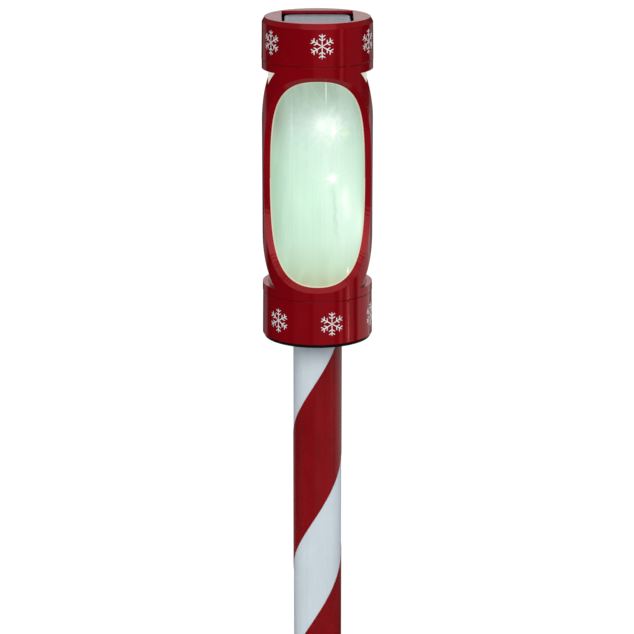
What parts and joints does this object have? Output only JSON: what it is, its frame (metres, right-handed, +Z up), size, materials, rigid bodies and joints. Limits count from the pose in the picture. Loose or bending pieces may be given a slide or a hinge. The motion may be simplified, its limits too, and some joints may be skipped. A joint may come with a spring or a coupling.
{
  "type": "solar bollard light",
  "caption": "Round garden lantern with a solar cap, a frosted tube in a windowed cage, and a helically striped pole on a ground spike.",
  "frame": {"origin": "on the pole's axis at the underside of the ground flange, level with the lawn", "axes": "+Z up the pole, -Y towards the front window"},
  "size_m": [0.0752, 0.0754, 0.8757],
  "materials": {
    "red_plastic": "glossy moulded plastic",
    "red_stripe": "glossy printed film",
    "white_tube": "glossy cool white",
    "white_print": "screen print",
    "white_plastic": "moulded, satin",
    "black_plastic": "moulded, satin",
    "frosted_plastic": "frosted, lit from inside",
    "clear_film": "crinkled clear film",
    "solar_glass": "resin-covered solar cells",
    "light_lens": "clear resin dome",
    "black_rubber": "soft seal",
    "screw_steel": "zinc-plated",
    "contact_metal": "nickel-plated",
    "cell_sleeve": "shrink sleeve",
    "board_green": "solder mask",
    "wire_cover": "insulated wire"
  },
  "bodies": {
    "spike": {"ground_spike": "black_plastic"},
    "lower_pole": {"lower_tube": "white_tube", "lower_stripe": "red_stripe", "pole_coupler": "white_plastic"},
    "upper_pole": {"upper_tube": "white_tube", "upper_stripe": "red_stripe"},
    "head": {"base_plate": "black_plastic", "base_cup": "red_plastic", "base_screws": "screw_steel", "band_snowflakes": "white_print", "diffuser_seal": "black_rubber", "diffuser": "frosted_plastic", "crinkled_film": "clear_film", "cage": "red_plastic", "cap_seal": "black_rubber"},
    "cap": {"cap_shell": "red_plastic", "cap_snowflakes": "white_print", "panel_pad": "black_rubber", "solar_panel": "solar_glass", "battery_tray": "white_plastic", "battery_cell": "cell_sleeve", "battery_contacts": "contact_metal", "battery_cover": "white_plastic", "tray_screws": "screw_steel", "control_board": "board_green", "switch_body": "contact_metal", "light_mast": "white_plastic", "mast_lights": "light_lens", "panel_wires": "wire_cover", "battery_wires": "wire_cover", "mast_wires": "wire_cover"},
    "switch": {"switch_lever": "black_plastic"}
  },
  "joints": [
    {"name": "pole_lift", "type": "slide", "parent": "spike", "child": "lower_pole", "axis": [0, 0, 1], "range_m": [0, 0.05]},
    {"name": "upper_pole_lift", "type": "slide", "parent": "lower_pole", "child": "upper_pole", "axis": [0, 0, 1], "range_m": [0, 0.045]},
    {"name": "head_lift", "type": "slide", "parent": "upper_pole", "child": "head", "axis": [0, 0, 1], "range_m": [0, 0.03]},
    {"name": "cap_lift", "type": "slide", "parent": "head", "child": "cap", "axis": [0, 0, 1], "range_m": [0, 0.12]},
    {"name": "switch_slide", "type": "slide", "parent": "cap", "child": "switch", "axis": [1, 0, 0], "range_m": [0, 0.0025]}
  ]
}
